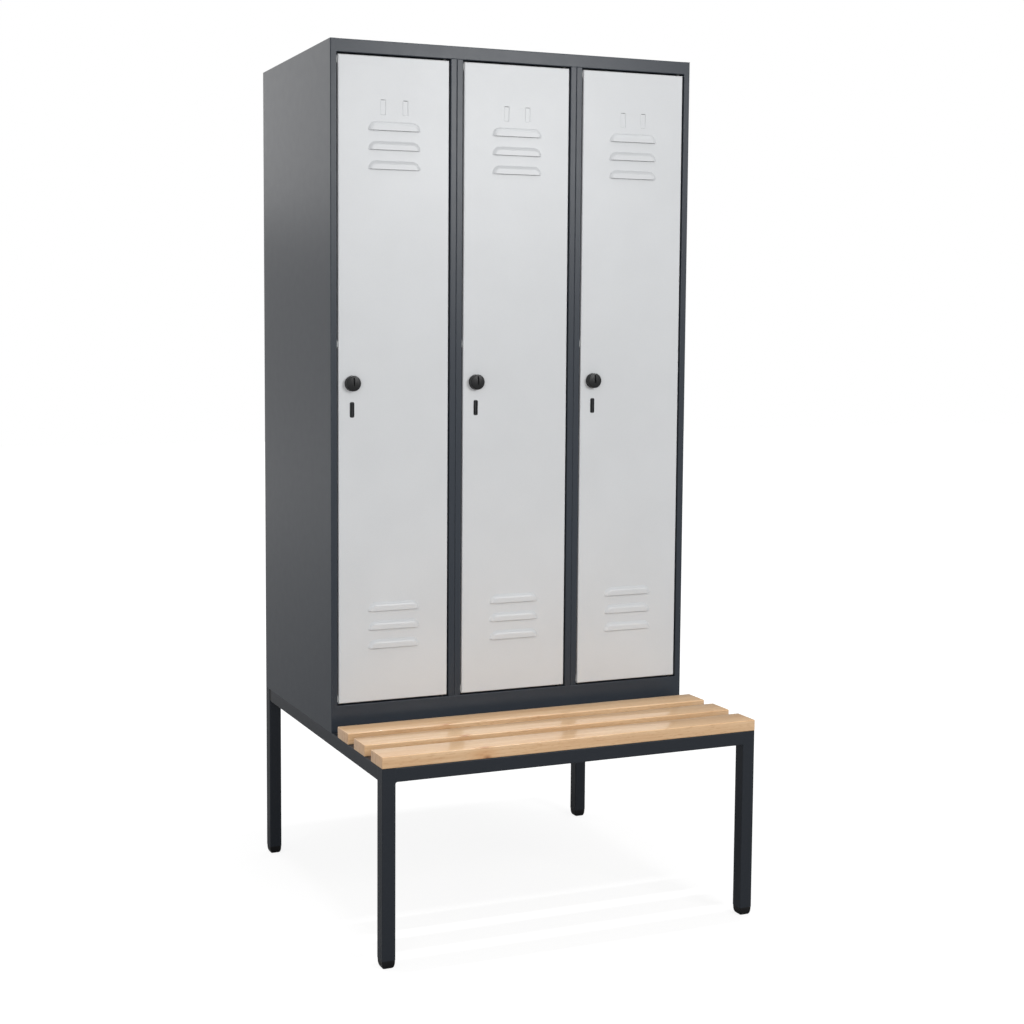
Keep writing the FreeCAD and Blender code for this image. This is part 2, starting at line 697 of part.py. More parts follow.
def slat(y):
    """Seat slat with rounded edges, resting on both side rails."""
    half = SLAT_WIDTH / 2
    solid = block(LEFT, -LEFT, y - half, y + half, FRAME_TOP, FRAME_TOP + SLAT_THICK)
    solid = solid.makeFillet(SLAT_EDGE, edges_along(solid, Vector(1, 0, 0)))
    ends = edge_at(solid, lambda point: abs(point.x) > -LEFT - NEAR)
    solid = solid.makeChamfer(SLAT_END, ends)
    return drilled(solid)


def bolt_shank(x, y, radius):
    """Shank of a frame bolt, from under a rail up into what it holds."""
    return post(radius, x, y, RAIL_BOTTOM, FRAME_TOP + SEAT_BITE)


def bolt_head(x, y):
    """Hexagon head under a rail."""
    step = 2 * math.pi / HEXAGON
    corner = BOLT_FLATS / 2 / math.cos(step / 2)
    spokes = [Vector(math.cos(side * step), math.sin(side * step), 0) for side in range(HEXAGON + 1)]
    middle = Vector(x, y, RAIL_BOTTOM - BOLT_HEAD_HEIGHT)
    outline = Part.makePolygon([middle + spoke * corner for spoke in spokes])
    return Part.Face(outline).extrude(Vector(0, 0, BOLT_HEAD_HEIGHT))


def frame_bolts():
    """Bolts from below through the rails, as separate solids."""
    bolts = [join([bolt_head(x, y), bolt_shank(x, y, BOLT_RADIUS)]) for x, y in bolt_places()]
    return Part.makeCompound(bolts)


def leg(x, y):
    """Upright tube from its foot to the top of the frame."""
    return tube_between((x, y, FOOT_HEIGHT), (x, y, FRAME_TOP))


def rounded_square(side, corner, z):
    """Closed outline of a square with rounded corners, about the Z axis."""
    half = side / 2
    plate = block(-half, half, -half, half, z, z + 1)
    plate = plate.makeFillet(corner, edges_along(plate, Vector(0, 0, 1)))
    return [face for face in plate.Faces if abs(face.CenterOfMass.z - z) < NEAR][0].OuterWire


def foot():
    """Plastic foot: a pad rounded in towards its sole, a straight collar and the plug inside the leg."""
    sections = []
    for step in range(FOOT_STEPS + 1):
        turn = step / FOOT_STEPS * math.pi / 2
        width = FOOT_BOTTOM + (FOOT_TOP - FOOT_BOTTOM) * math.sin(turn)
        sections.append(rounded_square(width, TUBE_CORNER, FOOT_ROUND * (1 - math.cos(turn))))
    pad = Part.makeLoft(sections, True, True)
    collar = Part.Face(sections[-1])
    inner = TUBE - 2 * TUBE_WALL - PLUG_CLEAR
    plug = Part.Face(rounded_square(inner, TUBE_CORNER - TUBE_WALL, FOOT_HEIGHT))
    up = Vector(0, 0, 1)
    return join([pad, collar.extrude(up * (FOOT_HEIGHT - FOOT_ROUND)), plug.extrude(up * FOOT_PLUG)])


def feet():
    """The four feet as separate solids."""
    return Part.makeCompound([moved(foot(), x, y) for x, y in leg_places().values()])


def leg_places():
    """Leg names and the places of their axes."""
    x = WIDTH / 2 - TUBE / 2
    front, rear = FRONT + TUBE / 2, BACK - TUBE / 2
    places = {"front_left": (-x, front), "front_right": (x, front)}
    places.update({"rear_left": (-x, rear), "rear_right": (x, rear)})
    return places


def rail_spacers():
    """Dark blocks between the side rails and the rear legs."""
    half = TUBE / 2 - SPACER_INSET
    middle_z = FRAME_TOP - TUBE / 2
    rear = BACK - TUBE
    blocks = []
    for side in (-1, 1):
        x = side * (WIDTH - TUBE) / 2
        blocks.append(block(x - half, x + half, rear - SPACER, rear, middle_z - half, middle_z + half))
    return Part.makeCompound(blocks)


def bench_rails():
    """The frame's level tubes by name."""
    z = FRAME_TOP - TUBE / 2
    side_x = (WIDTH - TUBE) / 2
    inside = WIDTH / 2 - TUBE
    start, end = FRONT + TUBE, BACK - TUBE - SPACER
    rails = {
        "left_side_rail": tube_between((-side_x, start, z), (-side_x, end, z)),
        "right_side_rail": tube_between((side_x, start, z), (side_x, end, z)),
    }
    across = {"front_rail": FRONT + TUBE / 2, "cross_rail": FACE + TUBE / 2, "rear_rail": BACK - TUBE / 2}
    for name, y in across.items():
        rails[name] = tube_between((-inside, y, z), (inside, y, z))
    return rails


def bench_nodes():
    """Bench pieces by name."""
    nodes = {name + "_leg": drilled(leg(x, y)) for name, (x, y) in leg_places().items()}
    nodes.update({name: drilled(rail) for name, rail in bench_rails().items()})
    nodes["rail_spacers"] = rail_spacers()
    nodes["feet"] = feet()
    for name, y in zip(("front_slat", "middle_slat", "rear_slat"), slat_centres()):
        nodes[name] = slat(y)
    nodes["frame_bolts"] = frame_bolts()
    return nodes


def body_nodes():
    """Locker body pieces by name."""
    nodes = {
        "left_side_panel": outer_wall(LEFT, 1, stop_fold()),
        "right_side_panel": outer_wall(-LEFT, -1, hinge_fold()),
        "top_panel": top_panel(),
        "bottom_panel": bottom_panel(),
        "back_panel": back_panel(),
        "pivot_bushes": pivot_bushes(),
        "door_buffers": door_buffers(),
    }
    for index in range(1, DOORS):
        x = LEFT + index * PITCH
        nodes[f"partition_{index}_left"] = inner_wall(x, -1, hinge_fold())
        nodes[f"partition_{index}_right"] = inner_wall(x, 1, stop_fold())
    return nodes


def compartment_nodes():
    """Shelf, rail and hooks of each compartment by name."""
    nodes = {}
    for index in range(DOORS):
        x = LEFT + index * PITCH
        nodes[f"hat_shelf_{index + 1}"] = hat_shelf(x)
        nodes[f"coat_rail_{index + 1}"] = coat_rail(x)
        for hook in range(HOOKS):
            place = x + PITCH * (hook + 1) / (HOOKS + 1)
            nodes[f"coat_hook_{index + 1}_{hook + 1}"] = coat_hook(place)
    return nodes


def door_nodes():
    """Pieces of every door by name, drawn once and repeated."""
    pieces = {
        "door_panel": door_panel(),
        "door_stiffener": door_stiffener(),
        "pivot_pins": pivot_pins(),
        "lock_case": lock_case(),
        "slot_insert": slot_insert(),
        "knob": knob(),
        "latch_cam": latch_cam(),
    }
    nodes = {}
    for index in range(DOORS):
        for name, shape in pieces.items():
            nodes[f"{name}_{index + 1}"] = moved(shape, LEFT + index * PITCH)
    return nodes


def main():
    """Writes one file per piece."""
    os.makedirs("parts", exist_ok=True)
    for group in (body_nodes, compartment_nodes, door_nodes, bench_nodes):
        for name, shape in group().items():
            shape.exportStep(f"parts/{name}.step")
            print(name, len(shape.Solids), "solids, valid", shape.isValid(), round(shape.Volume))


main()
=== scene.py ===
"""Looks of the three-door locker with bench: finishes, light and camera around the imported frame."""
import json
import math

import bmesh
import bpy
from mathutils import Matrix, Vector


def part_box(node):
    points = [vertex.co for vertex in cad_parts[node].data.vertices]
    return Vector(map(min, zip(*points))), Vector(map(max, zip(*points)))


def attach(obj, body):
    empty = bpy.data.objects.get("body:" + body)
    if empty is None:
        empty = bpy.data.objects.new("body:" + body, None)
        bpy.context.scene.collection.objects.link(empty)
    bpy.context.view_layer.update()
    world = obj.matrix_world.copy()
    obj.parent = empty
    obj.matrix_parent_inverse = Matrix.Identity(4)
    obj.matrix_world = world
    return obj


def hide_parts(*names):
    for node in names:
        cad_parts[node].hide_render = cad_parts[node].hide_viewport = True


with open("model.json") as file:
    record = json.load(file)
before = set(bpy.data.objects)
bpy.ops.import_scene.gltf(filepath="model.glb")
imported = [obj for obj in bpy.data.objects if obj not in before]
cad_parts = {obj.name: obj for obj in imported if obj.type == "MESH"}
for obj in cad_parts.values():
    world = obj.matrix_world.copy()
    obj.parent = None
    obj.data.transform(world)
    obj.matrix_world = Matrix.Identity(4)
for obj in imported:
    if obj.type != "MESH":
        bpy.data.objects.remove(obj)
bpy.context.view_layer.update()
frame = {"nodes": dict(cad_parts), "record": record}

# Camera: place in metres, angles in radians, lens in millimetres, and the shift that frames the object
CAMERA_PLACE = (-1.5965, -3.3630, 1.3179)
CAMERA_YAW = 0.3604
CAMERA_PITCH = 0.0809
CAMERA_LENS = 55.36
CAMERA_SHIFT = (0.1412, -0.0500)

# Slats: their nodes, and the radii of their long edges and of their ends, in metres
SLATS = ("front_slat", "middle_slat", "rear_slat")
SLAT_EDGE = 0.0022
SLAT_END = 0.0012

# Frame tube and its welds: sizes in metres, a bead's crown and ripple as parts of its size, and their count
TUBE = 0.030
TUBE_CORNER = 0.0020
BEAD = 0.0025
BEAD_CROWN = 0.62
BEAD_RIPPLE = 0.07
BEAD_RIPPLES = 14

# A quarter turn in radians, and the way down
QUARTER_TURN = math.pi / 2
DOWN = Vector((0.0, 0.0, -1.0))

# Round edges: steps of a quarter, how far they stay back from a sharp corner, and the angle shaded sharp
ROUND_STEPS = 5
ROUND_HOLLOW = 1.0 - math.sqrt(0.5)
SHARP_ANGLE = math.radians(35.0)

# Screen colours: their highest level, and the offset and power of their curve
SCREEN_TOP = 255
SCREEN_OFFSET = 0.055
SCREEN_POWER = 2.4

# Paints and plastics, as screen colours
BODY_GREY = (46, 52, 60)
BENCH_GREY = (38, 42, 48)
DOOR_GREY = (206, 208, 210)
BLACK = (13, 14, 16)
INSERT_GREY = (47, 49, 51)
HOOK_GREY = (30, 30, 32)
BUFFER_GREY = (190, 192, 192)

# Wood along its length and at its cut ends, from dark to light, as screen colours
BEECH_SHADES = ((201, 161, 120), (216, 181, 141), (225, 193, 155))
END_SHADES = ((202, 157, 114), (230, 190, 145))

# Tints that darken the wood, and the steels from dull to bright, as parts of red, green and blue light
WHITE = (1.0, 1.0, 1.0)
RING_TINT = (0.84, 0.77, 0.70)
PATCH_TINT = (0.94, 0.86, 0.78)
FLECK_TINT = (0.66, 0.52, 0.41)
END_TINT = (0.88, 0.82, 0.77)
ZINC_SHADES = ((0.50, 0.52, 0.54), (0.66, 0.67, 0.68))
OILED_SHADES = ((0.035, 0.035, 0.035), (0.055, 0.055, 0.055))

# Marks of a slat's knot: place and reach in parts of its length, width and thickness, and tint
KNOT_MARKS = (
    {"place": (0.255, 0.0, 0.30), "reach": (0.050, 0.50, 1.00), "tint": (0.92, 0.78, 0.66)},
    {"place": (0.264, 0.0, 0.08), "reach": (0.014, 0.15, 0.30), "tint": (0.52, 0.38, 0.28)},
    {"place": (0.258, 0.0, 0.97), "reach": (0.022, 0.10, 0.14), "tint": (0.62, 0.46, 0.36)},
)

# Ranges: a whole factor, most of a noise, a cloud's two shades, and how squarely a face looks along a slat
WHOLE = (0.0, 1.0)
NOISE_SPAN = (0.3, 0.7)
CLOUD_SPAN = (0.35, 0.65)
END_FACING = (0.75, 0.95)

# World: level of its light, level that surfaces mirror, and the directions and level of its dim corner
AMBIENT = 0.51
REFLECTED = 0.70
CORNER_FADE = (0.05, 0.35)
CORNER_LEVEL = 0.15

# Floor: size and fades in metres, its shades to light and to the camera, and its level near the object
FLOOR_SIZE = 30.0
FLOOR_BOUNCE = 0.36
FLOOR_SHADE = 0.20
FLOOR_NEAR = 0.85
FLOOR_FADE = (0.5, 2.4)
REFLECTED_FADE = (1.3, 9.5)


# Colour helpers

def from_srgb(levels):
    """Scene colour of a screen colour."""
    parts = (level / SCREEN_TOP for level in levels)
    return tuple(((part + SCREEN_OFFSET) / (1.0 + SCREEN_OFFSET)) ** SCREEN_POWER for part in parts)


def shades(colour, spread):
    """A darker and a lighter shade of a colour, by a part of itself."""
    return [tuple(level * (1.0 + way * spread) for level in colour) for way in (-1, 1)]


def opaque(colour):
    """Colour with full cover."""
    return (*colour, 1.0)


# Shader helpers

def feed(tree, socket, value):
    """Gives an input its value: a link from another socket, or a plain number or colour."""
    if isinstance(value, bpy.types.NodeSocket):
        tree.links.new(value, socket)
    else:
        socket.default_value = value


def set_inputs(tree, node, **values):
    """Gives a node's inputs their values; an underscore stands for a space in an input's name."""
    for name, value in values.items():
        feed(tree, node.inputs[name.replace("_", " ")], value)


def new_material(name):
    """Empty node material with its output and shader."""
    material = bpy.data.materials.new(name)
    material.use_nodes = True
    tree = material.node_tree
    tree.nodes.clear()
    shader = tree.nodes.new("ShaderNodeBsdfPrincipled")
    output = tree.nodes.new("ShaderNodeOutputMaterial")
    set_inputs(tree, output, Surface=shader.outputs["BSDF"])
    return material, tree, shader


def texture_space(tree, kind="Object", stretch=(1.0, 1.0, 1.0), shift=(0.0, 0.0, 0.0)):
    """Coordinates stretched and then shifted: the object's own in metres, or those across its box."""
    coordinates = tree.nodes.new("ShaderNodeTexCoord")
    mapping = tree.nodes.new("ShaderNodeMapping")
    set_inputs(tree, mapping, Vector=coordinates.outputs[kind], Scale=stretch, Location=shift)
    return mapping.outputs["Vector"]


def noise(tree, space, scale=1.0, detail=2.0, roughness=0.5, distortion=0.0):
    """Value of a noise texture."""
    texture = tree.nodes.new("ShaderNodeTexNoise")
    set_inputs(tree, texture, Vector=space, Scale=scale)
    set_inputs(tree, texture, Detail=detail, Roughness=roughness, Distortion=distortion)
    return texture.outputs["Fac"]


def remap(tree, value, source, target):
    """Value carried from one range to another, without leaving it."""
    node = tree.nodes.new("ShaderNodeMapRange")
    set_inputs(tree, node, Value=value, From_Min=source[0], From_Max=source[1])
    set_inputs(tree, node, To_Min=target[0], To_Max=target[1])
    return node.outputs["Result"]


def ramp(tree, value, colours, places):
    """Colour along a ramp that has its colours at the given places."""
    node = tree.nodes.new("ShaderNodeValToRGB")
    elements = node.color_ramp.elements
    while len(elements) < len(colours):
        elements.new(position=0.5)
    for element, place, colour in zip(elements, places, colours):
        element.position = place
        element.color = opaque(colour)
    set_inputs(tree, node, Fac=value)
    return node.outputs["Color"]


def clouds(tree, space, two_shades, scale, detail):
    """Soft clouds of two shades."""
    return ramp(tree, noise(tree, space, scale=scale, detail=detail), two_shades, places=CLOUD_SPAN)


def mix(tree, kind, first, second, share):
    """Two colours mixed by a share, each of them a socket or a plain value."""
    node = tree.nodes.new("ShaderNodeMix")
    node.data_type = "RGBA"
    node.blend_type = kind
    for name, value in (("Factor", share), ("A", first), ("B", second)):
        feed(tree, next(socket for socket in node.inputs if socket.name == name and socket.enabled), value)
    return next(socket for socket in node.outputs if socket.enabled)


def darken(tree, colour, tint, share):
    """Colour darkened by a share of a tint."""
    return mix(tree, "MULTIPLY", colour, tint, share)


def arithmetic(tree, operation, first, second=0.0):
    """Result of one sum on a value or two, each a number or a socket."""
    node = tree.nodes.new("ShaderNodeMath")
    node.operation = operation
    for socket, value in zip(node.inputs, (first, second)):
        feed(tree, socket, value)
    return node.outputs["Value"]


def length(tree, vector):
    """Length of a vector."""
    node = tree.nodes.new("ShaderNodeVectorMath")
    node.operation = "LENGTH"
    set_inputs(tree, node, Vector=vector)
    return node.outputs["Value"]


def bump(tree, height, shader, strength, distance):
    """Bump from a height value to the shader's normal."""
    node = tree.nodes.new("ShaderNodeBump")
    set_inputs(tree, node, Height=height, Strength=strength, Distance=distance)
    set_inputs(tree, shader, Normal=node.outputs["Normal"])


def uneven(tree, value, middle, spread):
    """Number that a noise varies about its middle."""
    return remap(tree, value, NOISE_SPAN, (middle - spread, middle + spread))


# Finishes

def powder_coat(name, colour, roughness, specular):
    """Fine-textured powder coat: faint clouds, orange-peel bump and uneven gloss."""
    material, tree, shader = new_material(name)
    space = texture_space(tree)
    clouded = clouds(tree, space, shades(from_srgb(colour), spread=0.015), scale=7.0, detail=3.0)
    grain = noise(tree, space, scale=700.0, detail=1.0)
    speckled = mix(tree, "SOFT_LIGHT", clouded, grain, share=0.10)
    gloss = uneven(tree, noise(tree, space, scale=40.0), roughness, spread=0.01)
    set_inputs(tree, shader, Base_Color=speckled, Roughness=gloss, Specular_IOR_Level=specular)
    bump(tree, grain, shader, strength=0.04, distance=0.0001)
    return material


def plastic(name, colour, roughness, specular=0.5):
    """Moulded plastic with a fine eroded texture."""
    material, tree, shader = new_material(name)
    space = texture_space(tree)
    clouded = clouds(tree, space, shades(from_srgb(colour), spread=0.12), scale=60.0, detail=2.0)
    grain = noise(tree, space, scale=1400.0)
    gloss = uneven(tree, grain, roughness, spread=0.05)
    set_inputs(tree, shader, Base_Color=clouded, Roughness=gloss, Specular_IOR_Level=specular)
    bump(tree, grain, shader, strength=0.08, distance=0.0002)
    return material


def brushed_steel(name, two_shades):
    """Plated or oiled steel: brushed along one way, with faint clouds."""
    material, tree, shader = new_material(name)
    clouded = clouds(tree, texture_space(tree), two_shades, scale=90.0, detail=3.0)
    lines = noise(tree, texture_space(tree, stretch=(30.0, 900.0, 900.0)))
    gloss = uneven(tree, lines, middle=0.35, spread=0.07)
    set_inputs(tree, shader, Base_Color=clouded, Roughness=gloss, Metallic=1.0)
    bump(tree, lines, shader, strength=0.05, distance=0.0002)
    return material


def beech():
    """Lacquered beech: streaks along the slat, rings, warm patches, ray flecks, a knot and cut ends."""
    material, tree, shader = new_material("beech_lacquered")
    along = texture_space(tree, stretch=(1.6, 42.0, 42.0))
    streaks = noise(tree, along, detail=6.0, roughness=0.62, distortion=0.6)
    wood = ramp(tree, streaks, [from_srgb(shade) for shade in BEECH_SHADES], places=(0.25, 0.48, 0.72))
    wood = darken(tree, wood, growth_rings(tree), share=0.25)
    wood = darken(tree, wood, warm_patches(tree), share=0.45)
    wood = darken(tree, wood, ray_flecks(tree), share=0.45)
    for mark in KNOT_MARKS:
        wood = darken(tree, wood, opaque(mark["tint"]), share=nearness(tree, mark["place"], mark["reach"]))
    wood = mix(tree, "MIX", wood, end_grain(tree), share=end_face(tree))
    gloss = remap(tree, streaks, source=(0.2, 0.8), target=(0.34, 0.26))
    set_inputs(tree, shader, Base_Color=wood, Roughness=gloss, Specular_IOR_Level=0.4)
    set_inputs(tree, shader, Coat_Weight=0.6, Coat_Roughness=0.08)
    bump(tree, streaks, shader, strength=0.05, distance=0.0004)
    return material


def growth_rings(tree):
    """Tint of the growth rings, cut into long curves along the slat."""
    rings = tree.nodes.new("ShaderNodeTexWave")
    rings.wave_type = "RINGS"
    rings.rings_direction = "X"
    set_inputs(tree, rings, Vector=texture_space(tree, stretch=(0.35, 6.0, 8.0)))
    set_inputs(tree, rings, Scale=6.0, Distortion=5.0, Detail=2.0, Detail_Scale=1.4)
    return ramp(tree, rings.outputs["Fac"], (RING_TINT, WHITE), places=(0.0, 0.5))


def warm_patches(tree):
    """Tint of broad warmer patches."""
    patches = noise(tree, texture_space(tree, stretch=(3.2, 14.0, 14.0)))
    return ramp(tree, patches, (PATCH_TINT, WHITE), places=(0.38, 0.60))


def ray_flecks(tree):
    """Tint of the short dark flecks along the grain."""
    flecks = noise(tree, texture_space(tree, stretch=(60.0, 620.0, 620.0)), detail=1.0)
    return ramp(tree, flecks, (FLECK_TINT, WHITE), places=(0.30, 0.40))


def nearness(tree, place, reach):
    """1 at a place in the object's box, falling to 0 at its reach along each side."""
    stretch = [1.0 / size for size in reach]
    shift = [-at * scale for at, scale in zip(place, stretch)]
    offset = texture_space(tree, kind="Generated", stretch=stretch, shift=shift)
    return remap(tree, length(tree, offset), WHOLE, (1.0, 0.0))


def end_face(tree):
    """1 on a slat's cut ends, 0 along its length."""
    geometry = tree.nodes.new("ShaderNodeNewGeometry")
    facing = tree.nodes.new("ShaderNodeSeparateXYZ")
    set_inputs(tree, facing, Vector=geometry.outputs["True Normal"])
    return remap(tree, arithmetic(tree, "ABSOLUTE", facing.outputs["X"]), END_FACING, WHOLE)


def end_grain(tree):
    """Colour of a slat's cut end: fine upright rays over broad curved rings."""
    rays = noise(tree, texture_space(tree, stretch=(1.0, 420.0, 60.0)), detail=3.0)
    rayed = ramp(tree, rays, [from_srgb(shade) for shade in END_SHADES], places=(0.30, 0.62))
    curves = noise(tree, texture_space(tree, stretch=(1.0, 30.0, 150.0)), distortion=1.5)
    curve_tint = ramp(tree, curves, (END_TINT, WHITE), places=(0.35, 0.60))
    return darken(tree, rayed, curve_tint, share=0.6)


def finishes():
    """Material of each slot of the record, and of the slot inserts."""
    body = powder_coat("body_powder_coat", BODY_GREY, roughness=0.34, specular=0.30)
    return {
        "body_paint": body,
        "shelf_paint": body,
        "bench_paint": powder_coat("bench_powder_coat", BENCH_GREY, roughness=0.36, specular=0.20),
        "door_paint": powder_coat("door_powder_coat", DOOR_GREY, roughness=0.34, specular=0.30),
        "beech": beech(),
        "black_plastic": plastic("black_plastic_moulded", BLACK, roughness=0.40, specular=0.32),
        "insert_plastic": plastic("insert_plastic_moulded", INSERT_GREY, roughness=0.45, specular=0.35),
        "hook_plastic": plastic("hook_plastic_moulded", HOOK_GREY, roughness=0.40),
        "buffer_plastic": plastic("buffer_plastic_moulded", BUFFER_GREY, roughness=0.50),
        "zinc_steel": brushed_steel("zinc_steel_plated", ZINC_SHADES),
        "black_steel": brushed_steel("black_steel_oiled", OILED_SHADES),
    }


def finish_name(part):
    """Name of a node's finish: that of its slot, apart from the slot inserts' greyer plastic."""
    return "insert_plastic" if part["node"].startswith("slot_insert") else part["material_slot"]


def dress_nodes(made):
    """Gives every node of the frame its finish."""
    for part in frame["record"]["subparts"]:
        mesh = frame["nodes"][part["node"]].data
        for index in range(len(mesh.materials)):
            mesh.materials[index] = made[finish_name(part)]


# Pieces

def add_piece(name, vertices, faces, material, body, slot):
    """Smooth-shaded mesh piece that rides on a body, with its sharp edges kept."""
    mesh = bpy.data.meshes.new(name)
    mesh.from_pydata(vertices, [], faces)
    shell = bmesh.new()
    shell.from_mesh(mesh)
    bmesh.ops.recalc_face_normals(shell, faces=shell.faces)
    shell.to_mesh(mesh)
    shell.free()
    mesh.polygons.foreach_set("use_smooth", [True] * len(faces))
    mesh.set_sharp_from_angle(angle=SHARP_ANGLE)
    mesh.materials.append(material)
    piece = bpy.data.objects.new(name, mesh)
    bpy.context.scene.collection.objects.link(piece)
    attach(piece, body)
    return piece


def middle_and_half(node):
    """Middle of a node's box, and half of its size."""
    low, high = (Vector(corner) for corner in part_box(node))
    return (low + high) / 2, (high - low) / 2


def rounded_outline(half_width, half_height, corner):
    """Points round a rectangle with round corners, about its middle."""
    points = []
    for quarter, (side, up) in enumerate(((1, 1), (-1, 1), (-1, -1), (1, -1))):
        middle = (side * (half_width - corner), up * (half_height - corner))
        for step in range(ROUND_STEPS + 1):
            turn = (quarter + step / ROUND_STEPS) * QUARTER_TURN
            points.append((middle[0] + corner * math.cos(turn), middle[1] + corner * math.sin(turn)))
    return points


def loft(rings):
    """Vertices and faces of a closed solid through rings with as many points each."""
    count = len(rings[0])
    vertices = [point for ring in rings for point in ring]
    faces = [tuple(reversed(range(count))), tuple(range(len(vertices) - count, len(vertices)))]
    for start in range(0, len(vertices) - count, count):
        for index in range(count):
            after = (index + 1) % count
            faces.append((start + index, start + after, start + count + after, start + count + index))
    return vertices, faces


def seat_slat(node, material):
    """Seat slat with round long edges and softly rounded ends, in place of its plain solid."""
    middle, half = middle_and_half(node)
    turns = [step / ROUND_STEPS * QUARTER_TURN for step in range(ROUND_STEPS + 1)]
    rings = []
    for side, order in ((-1, turns), (1, reversed(turns))):
        for turn in order:
            inset = SLAT_END * (1.0 - math.sin(turn))
            x = middle.x + side * (half.x - SLAT_END * (1.0 - math.cos(turn)))
            outline = rounded_outline(half.y - inset, half.z - inset, SLAT_EDGE - inset)
            rings.append([(x, middle.y + u, middle.z + v) for u, v in outline])
    piece = add_piece(node + "_wood", *loft(rings), material, "body", "beech")
    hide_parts(node)


def flush_weld(corner, along, inward, low, high):
    """Rings of a ground weld that fills the round corner of a leg beside the end of a rail."""
    start, end = corner + along, corner + inward
    hollow = corner + (along + inward) * ROUND_HOLLOW
    full_low, full_high = low + TUBE_CORNER, high - TUBE_CORNER
    rings = []
    for height, ridge in ((low, hollow), (full_low, corner), (full_high, corner), (high, hollow)):
        rings.append([(point.x, point.y, height) for point in (start, ridge, end)])
    return rings


def weld_bead(start, run, away):
    """Rings of a rippled bead in the corner under a rail, along a run across the leg."""
    rings = []
    for step in range(BEAD_RIPPLES + 1):
        swell = BEAD * (1.0 + BEAD_RIPPLE * (-1) ** step)
        root = start + run * (step / BEAD_RIPPLES)
        crown = root + (away + DOWN) * swell * BEAD_CROWN
        rings.append([tuple(point) for point in (root, root + away * swell, crown, root + DOWN * swell)])
    return rings


def rail_welds(leg, rail_way, face_way):
    """Welds where a rail leaves a leg's top: ground flush at the outer face, with a bead left underneath."""
    middle, half = middle_and_half(leg)
    top = middle.z + half.z
    corner = middle + (rail_way + face_way) * half
    bead_start = corner - face_way * TUBE_CORNER
    bead_start.z = top - TUBE
    bead_run = face_way * (2 * TUBE_CORNER - TUBE)
    ground = flush_weld(corner, -rail_way * TUBE_CORNER, -face_way * TUBE_CORNER, top - TUBE, top)
    return [ground, weld_bead(bead_start, bead_run, rail_way)]


def frame_welds(material):
    """Welds of the bench frame as one piece: every leg's cross rail, and the side rails at the front legs."""
    lofts = []
    for end, lengthways in (("front", -1), ("rear", 1)):
        for side, across in (("left", -1), ("right", 1)):
            leg = f"{end}_{side}_leg"
            outward, endward = Vector((across, 0.0, 0.0)), Vector((0.0, lengthways, 0.0))
            lofts += rail_welds(leg, -outward, endward)
            if end == "front":
                lofts += rail_welds(leg, -endward, outward)
    vertices, faces = [], []
    for rings in lofts:
        points, sides = loft(rings)
        faces += [tuple(index + len(vertices) for index in side) for side in sides]
        vertices += points
    add_piece("frame_welds", vertices, faces, material, "body", "bench_paint")


# Stage

def background_level(tree, seen, reflected, otherwise):
    """Level for rays from the camera, for rays reflected or let through by the object, and for the rest."""
    path = tree.nodes.new("ShaderNodeLightPath")
    direct = path.outputs["Is Camera Ray"]
    mirrored = arithmetic(tree, "MAXIMUM", path.outputs["Is Glossy Ray"], path.outputs["Is Transmission Ray"])
    rest = arithmetic(tree, "SUBTRACT", 1.0, arithmetic(tree, "MAXIMUM", direct, mirrored))
    level = arithmetic(tree, "MULTIPLY", mirrored, reflected)
    for rays, amount in ((rest, otherwise), (direct, seen)):
        level = arithmetic(tree, "ADD", level, arithmetic(tree, "MULTIPLY", rays, amount))
    return level


def mirrored_level(tree):
    """What surfaces mirror of the world: even all round, with a dim corner behind on the right."""
    coordinates = tree.nodes.new("ShaderNodeTexCoord")
    way = tree.nodes.new("ShaderNodeSeparateXYZ")
    set_inputs(tree, way, Vector=coordinates.outputs["Generated"])
    left = remap(tree, way.outputs["X"], CORNER_FADE, (REFLECTED, CORNER_LEVEL))
    front = remap(tree, way.outputs["Y"], CORNER_FADE, (REFLECTED, CORNER_LEVEL))
    return arithmetic(tree, "MAXIMUM", left, front)


def white_world():
    """White where it is seen, and a plain soft light everywhere."""
    world = bpy.data.worlds.new("studio")
    bpy.context.scene.world = world
    world.use_nodes = True
    tree = world.node_tree
    tree.nodes.clear()
    background = tree.nodes.new("ShaderNodeBackground")
    level = background_level(tree, seen=1.0, reflected=mirrored_level(tree), otherwise=AMBIENT)
    set_inputs(tree, background, Color=opaque(WHITE), Strength=level)
    output = tree.nodes.new("ShaderNodeOutputWorld")
    set_inputs(tree, output, Surface=background.outputs["Background"])


def floor_material():
    """Pale matt floor with a glow that turns it white away from the object."""
    material = bpy.data.materials.new("floor_pale")
    material.use_nodes = True
    tree = material.node_tree
    tree.nodes.clear()
    matt = tree.nodes.new("ShaderNodeBsdfDiffuse")
    path = tree.nodes.new("ShaderNodeLightPath")
    shade = remap(tree, path.outputs["Is Camera Ray"], WHOLE, (FLOOR_BOUNCE, FLOOR_SHADE))
    set_inputs(tree, matt, Color=shade)
    distance = length(tree, texture_space(tree))
    seen = remap(tree, distance, FLOOR_FADE, (FLOOR_NEAR, 1.0))
    reflected = remap(tree, distance, REFLECTED_FADE, (0.0, REFLECTED))
    glow = tree.nodes.new("ShaderNodeEmission")
    level = background_level(tree, seen, reflected, otherwise=0.0)
    set_inputs(tree, glow, Color=opaque(WHITE), Strength=level)
    both = tree.nodes.new("ShaderNodeAddShader")
    feed(tree, both.inputs[0], matt.outputs["BSDF"])
    feed(tree, both.inputs[1], glow.outputs["Emission"])
    output = tree.nodes.new("ShaderNodeOutputMaterial")
    set_inputs(tree, output, Surface=both.outputs["Shader"])
    return material


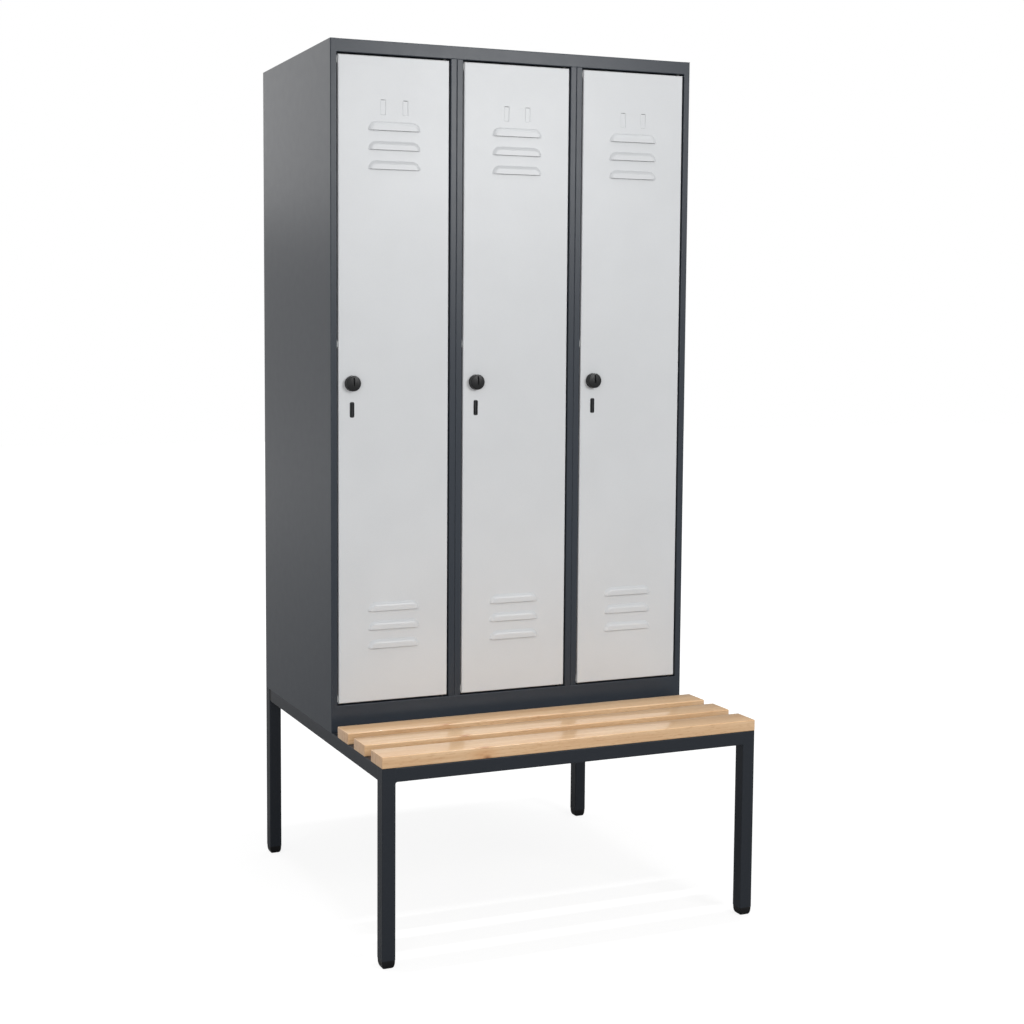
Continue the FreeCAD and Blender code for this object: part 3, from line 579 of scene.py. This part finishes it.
def pale_floor():
    """Pale floor that reads as white and keeps the object's shadow."""
    half = FLOOR_SIZE / 2
    corners = [(-half, -half, 0.0), (half, -half, 0.0), (half, half, 0.0), (-half, half, 0.0)]
    mesh = bpy.data.meshes.new("floor")
    mesh.from_pydata(corners, [], [range(len(corners))])
    mesh.materials.append(floor_material())
    floor = bpy.data.objects.new("floor", mesh)
    bpy.context.scene.collection.objects.link(floor)


def softbox(name, place, target, size, power):
    """Large soft lamp aimed at a point; sizes in metres, power in watts."""
    lamp = bpy.data.lights.new(name, "AREA")
    lamp.shape = "RECTANGLE"
    lamp.size, lamp.size_y = size
    lamp.energy = power
    holder = bpy.data.objects.new(name, lamp)
    bpy.context.scene.collection.objects.link(holder)
    holder.location = place
    holder.rotation_euler = (Vector(target) - Vector(place)).to_track_quat("-Z", "Y").to_euler()


def studio_light():
    """High key at the front right, fills at the front left and left, a sheen lamp behind, one overhead."""
    softbox("key_light", place=(1.35, -3.39, 2.30), target=(0.0, 0.0, 1.2), size=(1.2, 0.9), power=56.0)
    softbox("fill_light", place=(-2.0, -2.8, 1.5), target=(0.0, 0.0, 1.1), size=(1.6, 1.2), power=25.0)
    softbox("left_light", place=(-3.2, -0.3, 0.55), target=(-0.45, 0.0, 0.5), size=(1.6, 1.0), power=5.0)
    softbox("side_light", place=(-1.55, 3.90, 2.75), target=(-0.4, 0.2, 1.4), size=(1.6, 1.8), power=9.9)
    softbox("top_light", place=(0.0, 0.0, 6.0), target=(0.0, 0.0, 0.0), size=(2.6, 0.15), power=160.0)


def photograph_camera():
    """Camera at the photograph's viewing angle."""
    lens = bpy.data.cameras.new("camera")
    lens.lens = CAMERA_LENS
    lens.shift_x, lens.shift_y = CAMERA_SHIFT
    camera = bpy.data.objects.new("camera", lens)
    bpy.context.scene.collection.objects.link(camera)
    camera.location = CAMERA_PLACE
    camera.rotation_euler = (QUARTER_TURN - CAMERA_PITCH, 0.0, -CAMERA_YAW)
    bpy.context.scene.camera = camera


materials = finishes()
dress_nodes(materials)
for slat in SLATS:
    seat_slat(slat, materials["beech"])
frame_welds(materials["bench_paint"])
white_world()
pale_floor()
studio_light()
photograph_camera()
bpy.context.scene.view_settings.view_transform = "Standard"
